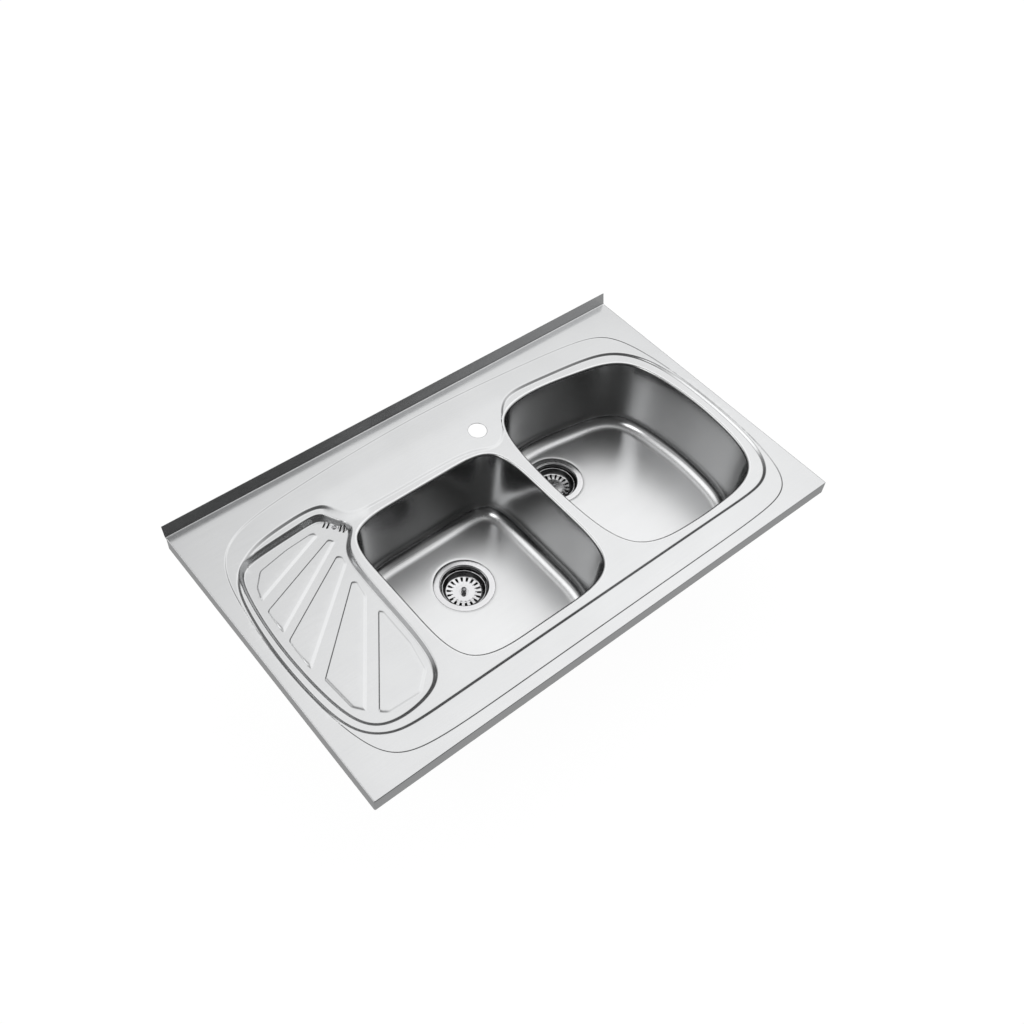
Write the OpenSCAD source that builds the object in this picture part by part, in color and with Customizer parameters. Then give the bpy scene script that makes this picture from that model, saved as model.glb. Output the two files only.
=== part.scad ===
// Lay-on stainless steel sink top: a drainer on the left, two bowls, a tap ledge with one tap hole,
// a low upstand along the back, and a basket strainer waste in each bowl.
// X runs to the right, Y to the wall, Z up. The origin is the middle of the 1000 x 600 footprint,
// on the plane that the folded skirts rest on.

/* [Sink top] */
// Width of the top, left to right
top_w = 1000; // [1000:1:1060]
// Depth of the top, front to wall
top_d = 600; // [600:1:640]
// Thickness of the steel sheet
sheet = 1; // [0.8:0.1:1.2]
// Height of the folded skirt on the front and the sides
skirt_h = 28; // [26:1:40]
// Width of the hem folded inwards under the skirt
hem_w = 12; // [8:1:14]
// Height of the upstand above the rim
upstand_h = 24; // [15:1:60]
// How far the top of the upstand leans back
upstand_lean = 4; // [0:0.5:6]

/* [Pressed steps] */
// Drop of the fine outer bead
bead_drop = 1.2; // [0.6:0.1:2]
// Further drop into the basin area
basin_drop = 3.8; // [2.5:0.1:4.5]
// Slope length of the basin step, seen from above
basin_run = 7; // [5:1:8]
// Depth of the drainer at its overflow corner
drainer_depth = 12; // [9:0.5:12]
// Slope length of the drainer's wall, seen from above
drainer_run = 8; // [6:1:9]
// Height of the raised panels on the drainer, with the drain channels between them
panel_h = 1.2; // [0.8:0.1:2]
// Corner radius of each panel
panel_r = 4; // [2:0.5:4]

/* [Bowls] */
// Depth of both bowls, from the rim to the floor
bowl_depth = 160; // [140:1:200]
// How far the wall closes in between rim and floor
bowl_draft = 8; // [4:1:10]
// Radius between wall and floor
bowl_fillet = 28; // [20:1:30]

/* [Holes] */
// Diameter of the tap hole
tap_hole_d = 35; // [33:1:38]
// Diameter of the hole in each bowl floor
drain_hole_d = 90; // [89:1:91]
// Outside diameter of the waste outlet's thread
outlet_d = 47.8; // [46:0.1:48.5]

/* [Hidden] */
$fn = 96;

steel = [0.78, 0.79, 0.80];
dark_steel = [0.45, 0.46, 0.47];
rubber = [0.12, 0.12, 0.12];
plastic = [0.88, 0.88, 0.86];
brass = [0.78, 0.64, 0.33];

eps = 0.01;
past = 5; // how far a cut runs past the face that it opens

// Heights
bead_z = skirt_h - bead_drop;
basin_z = bead_z - basin_drop;
floor_z = skirt_h - bowl_depth;

// Control points of the closed curves, seen from above, anticlockwise from the left. The basin's
// curve runs round the tap ledge, which stays at the height of the bead.
bead_points = [
    [-483, 0], [-478, -110], [-466, -190], [-440, -265], [-360, -280], [-200, -279],
    [200, -279], [355, -279], [440, -268], [468, -190], [480, -100], [482, 20],
    [474, 130], [450, 225], [390, 250], [250, 264], [0, 280], [-250, 265],
    [-410, 248], [-460, 190], [-474, 110]
];
basin_points = [
    [-481, 0], [-477, -110], [-462, -195], [-410, -236], [-330, -235], [0, -235],
    [330, -235], [415, -236], [462, -190], [477, -100], [480, 20], [470, 120],
    [430, 184], [370, 206], [270, 216], [195, 224], [160, 216], [132, 188],
    [108, 150], [75, 126], [40, 154], [-40, 157], [-180, 156], [-228, 160],
    [-236, 196], [-268, 214], [-330, 210], [-400, 201], [-455, 162], [-472, 100]
];
drainer_points = [
    [-454, -170], [-420, -212], [-360, -216], [-300, -200], [-278, -150], [-276, -60],
    [-276, 50], [-268, 100], [-248, 120], [-232, 138], [-244, 156], [-256, 180],
    [-268, 198], [-310, 195], [-380, 190], [-440, 182], [-455, 130], [-466, 40],
    [-466, -60]
];
left_bowl_points = [
    [-257, -211], [-125, -211], [-65, -211], [77, -211], [78, -70], [78, 20],
    [77, 138], [-25, 138], [-150, 136], [-257, 135], [-257, 20], [-257, -70]
];
right_bowl_points = [
    [112, -205], [240, -214], [300, -214], [440, -205], [458, -60], [458, 20],
    [438, 165], [320, 186], [235, 202], [118, 198], [100, 60], [99, -60]
];

// The drainer floor falls towards its overflow corner
overflow_at = [-258, 160];
overflow_turn = -54;
fall_x = 0.008;
fall_y = 0.016;

// Raised panels, fanning out from the overflow corner, anticlockwise from above
panels = [
    [[-438, 101], [-289, 161], [-292, 173], [-350, 168], [-408, 156], [-430, 130]],
    [[-444, 27], [-272, 133], [-279, 145], [-441, 80]],
    [[-447, -57], [-284, 82], [-281, 99], [-288, 107], [-445, 11]],
    [[-436, -150], [-421, -169], [-296, 8], [-291, 42], [-299, 48], [-441, -84]],
    [[-408, -182], [-396, -192], [-335, -194], [-303, -165], [-292, -110], [-291, -33],
        [-298, -26]]
];

// Overflow: slots either side of the screw
slot_places = [-18.5, -11.5, 11.5, 18.5];
slot_w = 3.4;
slot_len = 12;
overflow_l = 54;
overflow_d = 24;
overflow_wall = 3;
gasket_t = 2;
housing_depth = 20;
overflow_screw_r = 2.15;

tap_at = [73, 180];
left_drain = [-90, 6];
right_drain = [207, 96];

// Strainer waste: radii, and heights measured from the bowl floor
dish_r = 62;
dish_depth = 3;
flange_r = 57;
lip_r = 45;
cup_r = 43;
cup_wall = 1;
seat_z = -35;
seat_r = 24;
cup_plate = 1.2;
hub_r = 8;
floor_gasket_t = 3;
cup_gasket_t = 2;
body_top = -dish_depth - sheet - floor_gasket_t;
ledge_top = seat_z - cup_plate - cup_gasket_t;
body_r = 48;
spout_bore_r = 20;
spout_end = ledge_top - 44;
screw_r = 2.95;
nut_t = 5;
nut_r = 5.77;
hub_bottom = ledge_top - 12;
stub_r = 9;
stub_bore_r = 6.5;
stub_z = -24;
stub_reach = 72;
collar_t = 3;

basket_rim_r = 40.6;
basket_rim_z = -13.4;
petal_out_r = 33;
petal_in_r = 20;
disc_z = -22;
basket_t = 0.8;
slots = 18;
stem_r = 3;
stem_gap = 0.05;
play = 0.3; // gap between pieces that turn or lift against each other
knob_r = 4.3;
knob_h = 10;
stopper_r = 24;
stopper_t = 1.2;
stopper_top = disc_z - basket_t - play;
seal_top = stopper_top - stopper_t;
seal_web = 3;
stem_nut_t = 3.2;

bracket_w = 30;
bracket_t = 1.5;
bracket_drop = 25;
bracket_x = top_w / 2 - 16;
bracket_y = 220;
bracket_hole_r = 2.5;
bracket_hole_z = -12;

// One point of a cubic B-spline between four control points
function spline_point(a, b, c, d, t) =
    (pow(1 - t, 3) * a + (3 * t * t * t - 6 * t * t + 4) * b
    + (-3 * t * t * t + 3 * t * t + 3 * t + 1) * c + t * t * t * d) / 6;

// Closed cubic B-spline through a control polygon, with a number of steps per control point
function outline(points, steps) =
    let (n = len(points))
    [for (i = [0 : n - 1], k = [0 : steps - 1])
        spline_point(points[(i + n - 1) % n], points[i], points[(i + 1) % n],
            points[(i + 2) % n], k / steps)];

// The same curve moved outwards by a distance, or inwards where it is negative
function shifted(curve, distance) =
    let (n = len(curve))
    [for (i = [0 : n - 1])
        let (along = curve[(i + 1) % n] - curve[(i + n - 1) % n])
        curve[i] + distance * [along[1], -along[0]] / norm(along)];

function ring(curve, z) = [for (p = curve) [p[0], p[1], z]];

// Height of the drainer floor at a point
function drainer_z(p) =
    basin_z - drainer_depth - fall_x * (p[0] - overflow_at[0]) - fall_y * (p[1] - overflow_at[1]);

// Closed skin through rings that all have the same number of points
module loft(rings) {
    n = len(rings[0]);
    last = len(rings) - 1;
    sides = [for (k = [0 : last - 1], i = [0 : n - 1])
        let (j = (i + 1) % n)
        each [
            [k * n + i, (k + 1) * n + i, (k + 1) * n + j],
            [k * n + i, (k + 1) * n + j, k * n + j]
        ]];
    polyhedron(
        points = [for (r = rings) each r],
        faces = concat(
            [[for (i = [0 : n - 1]) i]],
            sides,
            [[for (i = [n - 1 : -1 : 0]) last * n + i]]
        )
    );
}

// Funnel whose wall passes through a curve at the top and is drawn in by a run at the bottom.
// The wall goes on past both heights, so that it cuts clean through the faces there.
module funnel(curve, top, bottom, run) {
    over = 2;
    slope = run / (top - bottom);
    loft([
        ring(shifted(curve, -run - slope * over), bottom - over),
        ring(shifted(curve, slope * over), top + over)
    ]);
}

// Upper half of space, from zero up, as far as this object needs
module above() {
    reach = 700;
    translate([-reach, -reach, 0])
        cube([2 * reach, 2 * reach, 8 * past]);
}

// Flat-bottomed pocket pressed down inside a curve
module pocket(curve, top, bottom, run) {
    intersection() {
        funnel(curve, top, bottom, run);
        translate([0, 0, bottom])
            above();
    }
}

// The drainer's hollow, with a sloping floor
module drainer_pocket() {
    intersection() {
        funnel(outline(drainer_points, 4), basin_z, basin_z - drainer_depth, drainer_run);
        on_drainer_floor()
            above();
    }
}

// Moves its children to the overflow, level with the floor's slope
module on_drainer_floor() {
    translate([overflow_at[0], overflow_at[1], drainer_z(overflow_at)])
        rotate([-atan(fall_y), atan(fall_x), 0])
            children();
}

// One corner of a polygon, rounded by a curve that starts and ends up to r away from it
function corner(before, at, after, r) =
    let (back = before - at, on = after - at)
    let (start = at + back * min(r / norm(back), 0.4), end = at + on * min(r / norm(on), 0.4))
    [for (t = [0 : 0.25 : 1]) (1 - t) * (1 - t) * start + 2 * t * (1 - t) * at + t * t * end];

function rounded(points, r) = [
    for (i = [0 : len(points) - 1])
        each corner(points[(i + len(points) - 1) % len(points)], points[i],
            points[(i + 1) % len(points)], r)
];

// Panels that stand up from the drainer floor, level with its slope
module drainer_panels() {
    on_drainer_floor()
        for (panel = panels)
            translate([0, 0, -panel_h])
                linear_extrude(2 * panel_h)
                    polygon(rounded([for (p = panel) p - overflow_at], panel_r));
}

// Everything under the top face. The underside of the sheet is the same volume, lowered and
// drawn in from the skirts.
module under_top(inset) {
    translate([0, 0, -inset]) {
        difference() {
            translate([-top_w / 2 + inset, -top_d / 2 + inset, -inset * past])
                cube([top_w - 2 * inset, top_d + inset * past, skirt_h + inset * past]);
            pocket(outline(bead_points, 4), skirt_h, bead_z, 3);
            pocket(outline(basin_points, 4), bead_z, basin_z, basin_run);
            difference() {
                drainer_pocket();
                drainer_panels();
            }
        }
    }
}

module overflow_frame() {
    on_drainer_floor()
        rotate(overflow_turn)
            children();
}

module slot_cut(length, width, height) {
    translate([-width / 2, -length / 2 + width / 2, 0])
        cube([width, length - width, height]);
    for (end = [-1, 1])
        translate([0, end * (length - width) / 2, 0])
            cylinder(h = height, d = width);
}

// Drainer, tap ledge, skirts with their hem, and the upstand, pressed and folded from one sheet
module sink_deck() {
    color(steel) {
        difference() {
            under_top(0);
            under_top(sheet);
            for (points = [left_bowl_points, right_bowl_points])
                translate([0, 0, floor_z])
                    linear_extrude(height = bowl_depth + past)
                        polygon(outline(points, 5));
            translate([tap_at[0], tap_at[1], 0])
                cylinder(h = skirt_h + past, d = tap_hole_d);
            overflow_frame() {
                for (x = slot_places)
                    translate([x, 0, -past])
                        slot_cut(slot_len, slot_w, 2 * past);
                translate([0, 0, -past])
                    cylinder(h = 2 * past, r = overflow_screw_r + 0.3);
            }
        }
        hem();
        upstand();
    }
}

module hem() {
    for (side = [0, 1])
        mirror([side, 0, 0])
            translate([top_w / 2 - hem_w, -top_d / 2 + sheet, 0])
                cube([hem_w - sheet, top_d - sheet, sheet]);
    translate([-top_w / 2 + sheet, -top_d / 2 + sheet, 0])
        cube([top_w - 2 * sheet, hem_w - sheet, sheet]);
}

module upstand() {
    foot = top_d / 2;
    translate([-top_w / 2, 0, 0])
        rotate([90, 0, 90])
            linear_extrude(height = top_w)
                polygon([
                    [foot - sheet, skirt_h - sheet],
                    [foot + sheet, skirt_h - sheet],
                    [foot + sheet + upstand_lean, skirt_h + upstand_h],
                    [foot + upstand_lean, skirt_h + upstand_h],
                    [foot, skirt_h],
                    [foot - sheet, skirt_h]
                ]);
}

// Drawn bowl, welded under the basin area, with a dished seat for the strainer
module bowl(points, drain) {
    curve = outline(points, 5);
    top = basin_z - sheet;
    bend = floor_z + bowl_fillet;
    inside = [for (a = [90 : -30 : 0])
        [bowl_draft + bowl_fillet * (1 - cos(a)), bend - bowl_fillet * sin(a)]];
    outer_r = bowl_fillet + sheet;
    outside = [for (a = [90 : -30 : 0])
        [bowl_draft + bowl_fillet - outer_r * cos(a), bend - outer_r * sin(a)]];
    color(steel)
        difference() {
            union() {
                loft(concat(
                    [for (p = outside) ring(shifted(curve, -p[0]), p[1])],
                    [ring(shifted(curve, sheet), top)],
                    [ring(curve, top)],
                    [for (i = [len(inside) - 1 : -1 : 0])
                        ring(shifted(curve, -inside[i][0]), inside[i][1])]
                ));
                translate([drain[0], drain[1], floor_z - dish_depth - sheet])
                    cylinder(h = dish_depth + sheet / 2, r = dish_r + sheet);
            }
            translate([drain[0], drain[1], floor_z - dish_depth])
                cylinder(h = dish_depth + eps, r1 = flange_r + 1, r2 = dish_r);
            translate([drain[0], drain[1], floor_z - past * 2])
                cylinder(h = past * 4, d = drain_hole_d);
        }
}

module left_bowl() { bowl(left_bowl_points, left_drain); }
module right_bowl() { bowl(right_bowl_points, right_drain); }

// Soft sheet stuck under the bowl floor to dull the sound of water
module damping_pad(centre, size) {
    corner = 15;
    pad_t = 3;
    color(rubber)
        translate([centre[0], centre[1], floor_z - sheet - pad_t])
            linear_extrude(height = pad_t)
                polygon([for (q = [0 : 3], a = [0 : 15 : 90])
                    let (sx = (q == 0 || q == 3) ? 1 : -1)
                    let (sy = (q < 2) ? 1 : -1)
                    [sx * (size[0] / 2 - corner), sy * (size[1] / 2 - corner)]
                    + corner * [cos(a + q * 90), sin(a + q * 90)]]);
}

module left_damping_pad() { damping_pad([-90, -118], [200, 90]); }
module right_damping_pad() { damping_pad([300, -70], [180, 140]); }

// Folded channel glued under the deck, open downwards
module stiffener(centre_y, length, width, height) {
    color(dark_steel)
        translate([-length / 2, centre_y - width / 2, bead_z - sheet - height])
            difference() {
                cube([length, width, height]);
                translate([-past, sheet, -past])
                    cube([length + 2 * past, width - 2 * sheet, height + past - sheet]);
            }
}

module front_stiffener() { stiffener(-258, 740, 26, 16); }
module rear_stiffener() { stiffener(248, 440, 18, 16); }

// Angle bracket under each corner of the deck, screwed sideways into the cabinet
module fixing_brackets() {
    color(dark_steel)
        for (side = [0, 1], y = [-bracket_y, bracket_y])
            mirror([side, 0, 0])
                translate([bracket_x, y, 0])
                    difference() {
                        union() {
                            translate([-bracket_t, -bracket_w / 2, -bracket_drop])
                                cube([bracket_t, bracket_w, bracket_drop + skirt_h - sheet]);
                            translate([-eps, -bracket_w / 2, skirt_h - sheet - bracket_t])
                                cube([hem_w + eps, bracket_w, bracket_t]);
                        }
                        translate([-past, 0, bracket_hole_z])
                            rotate([0, 90, 0])
                                cylinder(h = 2 * past, r = bracket_hole_r);
                    }
}

// Rubber frame between the drainer and the overflow housing
module overflow_gasket() {
    color(rubber)
        overflow_frame()
            translate([0, 0, -sheet - gasket_t])
                difference() {
                    slab(overflow_l, overflow_d, gasket_t);
                    translate([0, 0, -past])
                        slab(overflow_l - 2 * overflow_wall, overflow_d - 2 * overflow_wall, 3 * past);
                }
}

// Flat block, centred, with its underside at zero
module slab(length, depth, height) {
    translate([-length / 2, -depth / 2, 0])
        cube([length, depth, height]);
}

// Collects the overflow under the drainer corner and leads it to a hose spigot
module overflow_housing() {
    spigot = 30;
    post_r = 5;
    top = -sheet - gasket_t;
    color(plastic)
        overflow_frame()
            difference() {
                union() {
                    difference() {
                        translate([0, 0, top - housing_depth])
                            slab(overflow_l, overflow_d, housing_depth);
                        translate([0, 0, top - housing_depth + overflow_wall])
                            slab(overflow_l - 2 * overflow_wall, overflow_d - 2 * overflow_wall,
                                housing_depth);
                    }
                    translate([0, 0, top - housing_depth])
                        cylinder(h = housing_depth + gasket_t, r = post_r);
                    translate([-15, 0, top - housing_depth - spigot])
                        cylinder(h = spigot + eps, r = stub_r);
                }
                translate([-15, 0, top - housing_depth - spigot - past])
                    cylinder(h = spigot + past + overflow_wall + eps, r = stub_bore_r);
                translate([0, 0, top - housing_depth - past])
                    cylinder(h = housing_depth + 2 * past, r = overflow_screw_r + stem_gap);
            }
}

module overflow_screw() {
    color(dark_steel)
        overflow_frame()
            rotate_extrude()
                polygon([[0, -18], [overflow_screw_r, -18], [overflow_screw_r, 0], [4.5, 0],
                    [4.1, 1], [2.5, 1.7], [0, 1.9]]);
}

// Places a waste part on the axis of one drain, with zero at the bowl floor
module at_drain(drain) {
    translate([drain[0], drain[1], floor_z])
        children();
}

module tube(r_out, r_in, bottom, top) {
    translate([0, 0, bottom])
        difference() {
            cylinder(h = top - bottom, r = r_out);
            translate([0, 0, -past])
                cylinder(h = top - bottom + 2 * past, r = r_in);
        }
}

// Flanged steel cup that clamps through the bowl floor and holds the basket
module strainer_cup(drain) {
    bottom = seat_z - cup_plate;
    color(steel)
        at_drain(drain) {
            rotate_extrude()
                polygon([
                    [flange_r, -dish_depth], [flange_r, -2.2], [flange_r - 2, -1.8],
                    [lip_r + 1, -1.8], [lip_r - 1, -2.6], [cup_r, -5], [cup_r, seat_z],
                    [seat_r, seat_z], [seat_r, bottom], [cup_r + cup_wall, bottom],
                    [cup_r + cup_wall, -dish_depth]
                ]);
            difference() {
                union() {
                    translate([0, 0, bottom])
                        cylinder(h = cup_plate, r = hub_r);
                    for (turn = [0 : 90 : 270])
                        rotate(turn)
                            translate([hub_r - 1, -2, bottom])
                                cube([seat_r - hub_r + 2, 4, cup_plate]);
                }
                translate([0, 0, bottom - past])
                    cylinder(h = cup_plate + 2 * past, r = 3.3);
            }
        }
}

module floor_gasket(drain) {
    color(rubber)
        at_drain(drain)
            tube(58, lip_r + 1, body_top, body_top + floor_gasket_t);
}

module cup_gasket(drain) {
    color(rubber)
        at_drain(drain)
            tube(cup_r, seat_r + 2, ledge_top, ledge_top + cup_gasket_t);
}

// Plastic body under the bowl, drawn up against the floor by the clamp screw
module waste_body(drain, has_stub) {
    bore = cup_r + cup_wall + 1.2;
    color(plastic)
        at_drain(drain)
            difference() {
                union() {
                    rotate_extrude()
                        polygon([
                            [bore, body_top], [60, body_top], [60, body_top - 3],
                            [body_r, body_top - 4], [body_r, ledge_top - 2],
                            [body_r - 8, ledge_top - 7], [outlet_d / 2, ledge_top - 10],
                            [outlet_d / 2, spout_end], [spout_bore_r, spout_end],
                            [spout_bore_r, ledge_top], [bore, ledge_top]
                        ]);
                    translate([0, 0, hub_bottom])
                        cylinder(h = 10, r = hub_r - 0.5);
                    for (turn = [0 : 120 : 240])
                        rotate(turn)
                            translate([hub_r - 2, -1.5, hub_bottom + 1])
                                cube([spout_bore_r - hub_r + 3, 3, 7]);
                    if (has_stub)
                        rotate(90)
                            translate([body_r - 1, 0, stub_z])
                                rotate([0, 90, 0]) {
                                    cylinder(h = stub_reach - body_r + 1, r = stub_r);
                                    cylinder(h = 1 + collar_t, r = stub_r + 3);
                                }
                }
                translate([0, 0, hub_bottom - past])
                    cylinder(h = 20 + past, r = screw_r + 0.15);
                translate([0, 0, hub_bottom - eps])
                    cylinder(h = nut_t + eps, r = nut_r + 0.1, $fn = 6);
                if (has_stub)
                    rotate(90)
                        translate([bore - 1, 0, stub_z])
                            rotate([0, 90, 0])
                                cylinder(h = stub_reach, r = stub_bore_r);
            }
}

module clamp_screw(drain) {
    color(dark_steel)
        at_drain(drain)
            rotate_extrude()
                polygon([[0, hub_bottom], [screw_r, hub_bottom], [screw_r, seat_z],
                    [5.5, seat_z], [5.2, seat_z + 1.6], [4, seat_z + 2.4], [0, seat_z + 2.4]]);
}

module clamp_nut(drain) {
    color(brass)
        at_drain(drain)
            translate([0, 0, hub_bottom])
                difference() {
                    cylinder(h = nut_t, r = nut_r, $fn = 6);
                    translate([0, 0, -past])
                        cylinder(h = nut_t + 2 * past, r = screw_r + stem_gap);
                }
}

// Pressed basket with a rolled rim, a ring of radial slots and a flat centre
module basket(drain) {
    color(steel)
        at_drain(drain)
            difference() {
                rotate_extrude()
                    polygon([
                        [basket_rim_r, basket_rim_z], [basket_rim_r, -12], [39.8, -11.6],
                        [38.6, -12.2], [38.2, -13.2], [petal_out_r - 0.4, -17.6],
                        [petal_in_r, disc_z], [stem_r + stem_gap, disc_z],
                        [stem_r + stem_gap, disc_z - basket_t],
                        [petal_in_r + 0.2, disc_z - basket_t], [petal_out_r, -18.5],
                        [39, basket_rim_z - 0.4]
                    ]);
                for (k = [0 : slots - 1])
                    rotate(k * 360 / slots)
                        translate([petal_in_r + 1.5, -1.7, disc_z - past])
                            cube([petal_out_r - petal_in_r - 3, 3.4, 3 * past]);
            }
}

module knob(drain) {
    bottom = disc_z + play;
    color(dark_steel)
        at_drain(drain)
            rotate_extrude()
                polygon([
                    [stem_r, bottom], [knob_r, bottom], [knob_r, bottom + 1.5],
                    [knob_r - 1, bottom + 3], [knob_r - 1, bottom + knob_h - 3.5],
                    [knob_r, bottom + knob_h - 2], [knob_r - 0.5, bottom + knob_h - 0.6],
                    [knob_r - 1.6, bottom + knob_h], [0, bottom + knob_h],
                    [0, bottom + 4], [stem_r, bottom + 4]
                ]);
}

module stem(drain) {
    end = seal_top - seal_web - stem_nut_t - 0.5;
    color(dark_steel)
        at_drain(drain)
            translate([0, 0, end])
                cylinder(h = disc_z + play + 4 - end, r = stem_r);
}

module stopper_disc(drain) {
    color(steel)
        at_drain(drain)
            tube(stopper_r, stem_r, seal_top, stopper_top);
}

// Flared rubber that closes on the seat of the cup
module stopper_seal(drain) {
    foot = seat_z + play;
    color(rubber)
        at_drain(drain)
            rotate_extrude()
                polygon([
                    [stem_r, seal_top], [stopper_r, seal_top], [30, foot + 1.2], [30, foot],
                    [27, foot], [stopper_r - 2, seal_top - seal_web],
                    [stem_r, seal_top - seal_web]
                ]);
}

module stem_nut(drain) {
    color(dark_steel)
        at_drain(drain)
            translate([0, 0, seal_top - seal_web - stem_nut_t])
                difference() {
                    cylinder(h = stem_nut_t, r = nut_r, $fn = 6);
                    translate([0, 0, -past])
                        cylinder(h = stem_nut_t + 2 * past, r = stem_r);
                }
}

sink_deck();
left_bowl();
right_bowl();
left_damping_pad();
right_damping_pad();
front_stiffener();
rear_stiffener();
fixing_brackets();
overflow_gasket();
overflow_housing();
overflow_screw();
strainer_cup(left_drain);  // left_strainer_cup
floor_gasket(left_drain);  // left_floor_gasket
waste_body(left_drain, true);  // left_waste_body
cup_gasket(left_drain);  // left_cup_gasket
clamp_screw(left_drain);  // left_clamp_screw
clamp_nut(left_drain);  // left_clamp_nut
basket(left_drain);  // left_basket
knob(left_drain);  // left_knob
stem(left_drain);  // left_stem
stopper_disc(left_drain);  // left_stopper_disc
stopper_seal(left_drain);  // left_stopper_seal
stem_nut(left_drain);  // left_stem_nut
strainer_cup(right_drain);  // right_strainer_cup
floor_gasket(right_drain);  // right_floor_gasket
waste_body(right_drain, false);  // right_waste_body
cup_gasket(right_drain);  // right_cup_gasket
clamp_screw(right_drain);  // right_clamp_screw
clamp_nut(right_drain);  // right_clamp_nut
basket(right_drain);  // right_basket
knob(right_drain);  // right_knob
stem(right_drain);  // right_stem
stopper_disc(right_drain);  // right_stopper_disc
stopper_seal(right_drain);  // right_stopper_seal
stem_nut(right_drain);  // right_stem_nut
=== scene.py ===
"""Lay-on steel sink top with a drainer, two bowls and a basket strainer in each bowl.

Lengths in this file are millimetres in the row frame, and become metres when a mesh is made.
"""

import math

import bpy
import numpy as np
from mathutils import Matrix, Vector
from mathutils.geometry import delaunay_2d_cdt


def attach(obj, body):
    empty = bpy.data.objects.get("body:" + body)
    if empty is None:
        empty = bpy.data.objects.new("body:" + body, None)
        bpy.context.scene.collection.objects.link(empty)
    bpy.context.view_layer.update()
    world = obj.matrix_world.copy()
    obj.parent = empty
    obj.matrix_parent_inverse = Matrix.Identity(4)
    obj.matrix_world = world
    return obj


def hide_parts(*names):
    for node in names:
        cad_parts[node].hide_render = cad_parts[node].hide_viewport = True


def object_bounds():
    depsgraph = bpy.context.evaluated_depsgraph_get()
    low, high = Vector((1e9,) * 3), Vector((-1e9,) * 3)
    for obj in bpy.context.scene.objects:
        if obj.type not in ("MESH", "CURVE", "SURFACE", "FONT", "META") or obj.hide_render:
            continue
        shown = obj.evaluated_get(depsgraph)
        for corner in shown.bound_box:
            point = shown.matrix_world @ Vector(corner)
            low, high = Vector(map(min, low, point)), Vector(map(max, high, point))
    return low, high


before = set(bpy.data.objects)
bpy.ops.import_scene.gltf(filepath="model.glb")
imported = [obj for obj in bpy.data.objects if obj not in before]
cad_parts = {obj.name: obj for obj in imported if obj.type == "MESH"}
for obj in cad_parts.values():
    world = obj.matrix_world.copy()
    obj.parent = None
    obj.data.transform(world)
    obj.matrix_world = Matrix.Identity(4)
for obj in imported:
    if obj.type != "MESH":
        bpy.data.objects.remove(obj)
cad_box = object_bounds()

MM = 0.001

# ---------------------------------------------------------------- sizes of the object

HALF_W = 500
HALF_D = 300
SHEET = 1.0
RIM_Z = 28.0
BEAD_Z = 26.8
BASIN_Z = 23.0
FLOOR_Z = -132.0
UPSTAND_TOP = 52.0
UPSTAND_LEAN = 4.0
HEM = 12.0
FOLD_R = 1.5
CORNER_R = 2.5

BEAD_RUN = 3.0
BASIN_RUN = 7.0
# The basin's step runs out softly between the drainer and the tap ledge
BASIN_SOFT_AT = (-224, 176)
BASIN_SOFT_R = 46.0
BASIN_SOFT_RUN = 18.0
DRAINER_RUN = 8.0
DRAINER_DEPTH = 12.0
# Width of the flat strip that runs beside each step and hole
MARGIN = 1.2
# A point under the sheet is at most this many thicknesses from its top point
UNDER_REACH = 1.7

BOWL_DRAFT = 8.0
BOWL_FILLET = 28.0
BOWL_RIM_R = 5.0
BOWL_RIM_OUT = 3.5

TAP_AT = (73, 180)
TAP_R = 17.5
LEFT_DRAIN = (-90, 6)
RIGHT_DRAIN = (207, 96)
DISH_R = 62.0
DISH_DEPTH = 3.0
FLANGE_R = 57.0
DRAIN_HOLE_R = 45.0

# Closed curves seen from above, anticlockwise from the left
BEAD = [
    (-483, 0), (-478, -110), (-466, -190), (-440, -265), (-360, -280), (-200, -279),
    (200, -279), (355, -279), (440, -268), (468, -190), (480, -100), (482, 20),
    (474, 130), (450, 225), (390, 250), (250, 264), (0, 280), (-250, 265),
    (-410, 248), (-460, 190), (-474, 110),
]
BASIN = [
    (-481, 0), (-477, -110), (-462, -195), (-410, -236), (-330, -235), (0, -235),
    (330, -235), (415, -236), (462, -190), (477, -100), (480, 20), (470, 120),
    (430, 184), (370, 206), (270, 216), (195, 224), (160, 216), (132, 188),
    (108, 150), (75, 126), (40, 154), (-40, 157), (-180, 156), (-228, 160),
    (-236, 196), (-268, 214), (-330, 210), (-400, 201), (-455, 162), (-472, 100),
]
DRAINER = [
    (-454, -170), (-420, -212), (-360, -216), (-300, -200), (-278, -150), (-276, -60),
    (-276, 50), (-268, 100), (-248, 120), (-232, 138), (-244, 156), (-256, 180),
    (-268, 198), (-310, 195), (-380, 190), (-440, 182), (-455, 130), (-466, 40),
    (-466, -60),
]
LEFT_BOWL = [
    (-257, -211), (-125, -211), (-65, -211), (77, -211), (78, -70), (78, 20),
    (77, 138), (-25, 138), (-150, 136), (-257, 135), (-257, 20), (-257, -70),
]
RIGHT_BOWL = [
    (112, -205), (240, -214), (300, -214), (440, -205), (458, -60), (458, 20),
    (438, 165), (320, 186), (235, 202), (118, 198), (100, 60), (99, -60),
]

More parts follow.
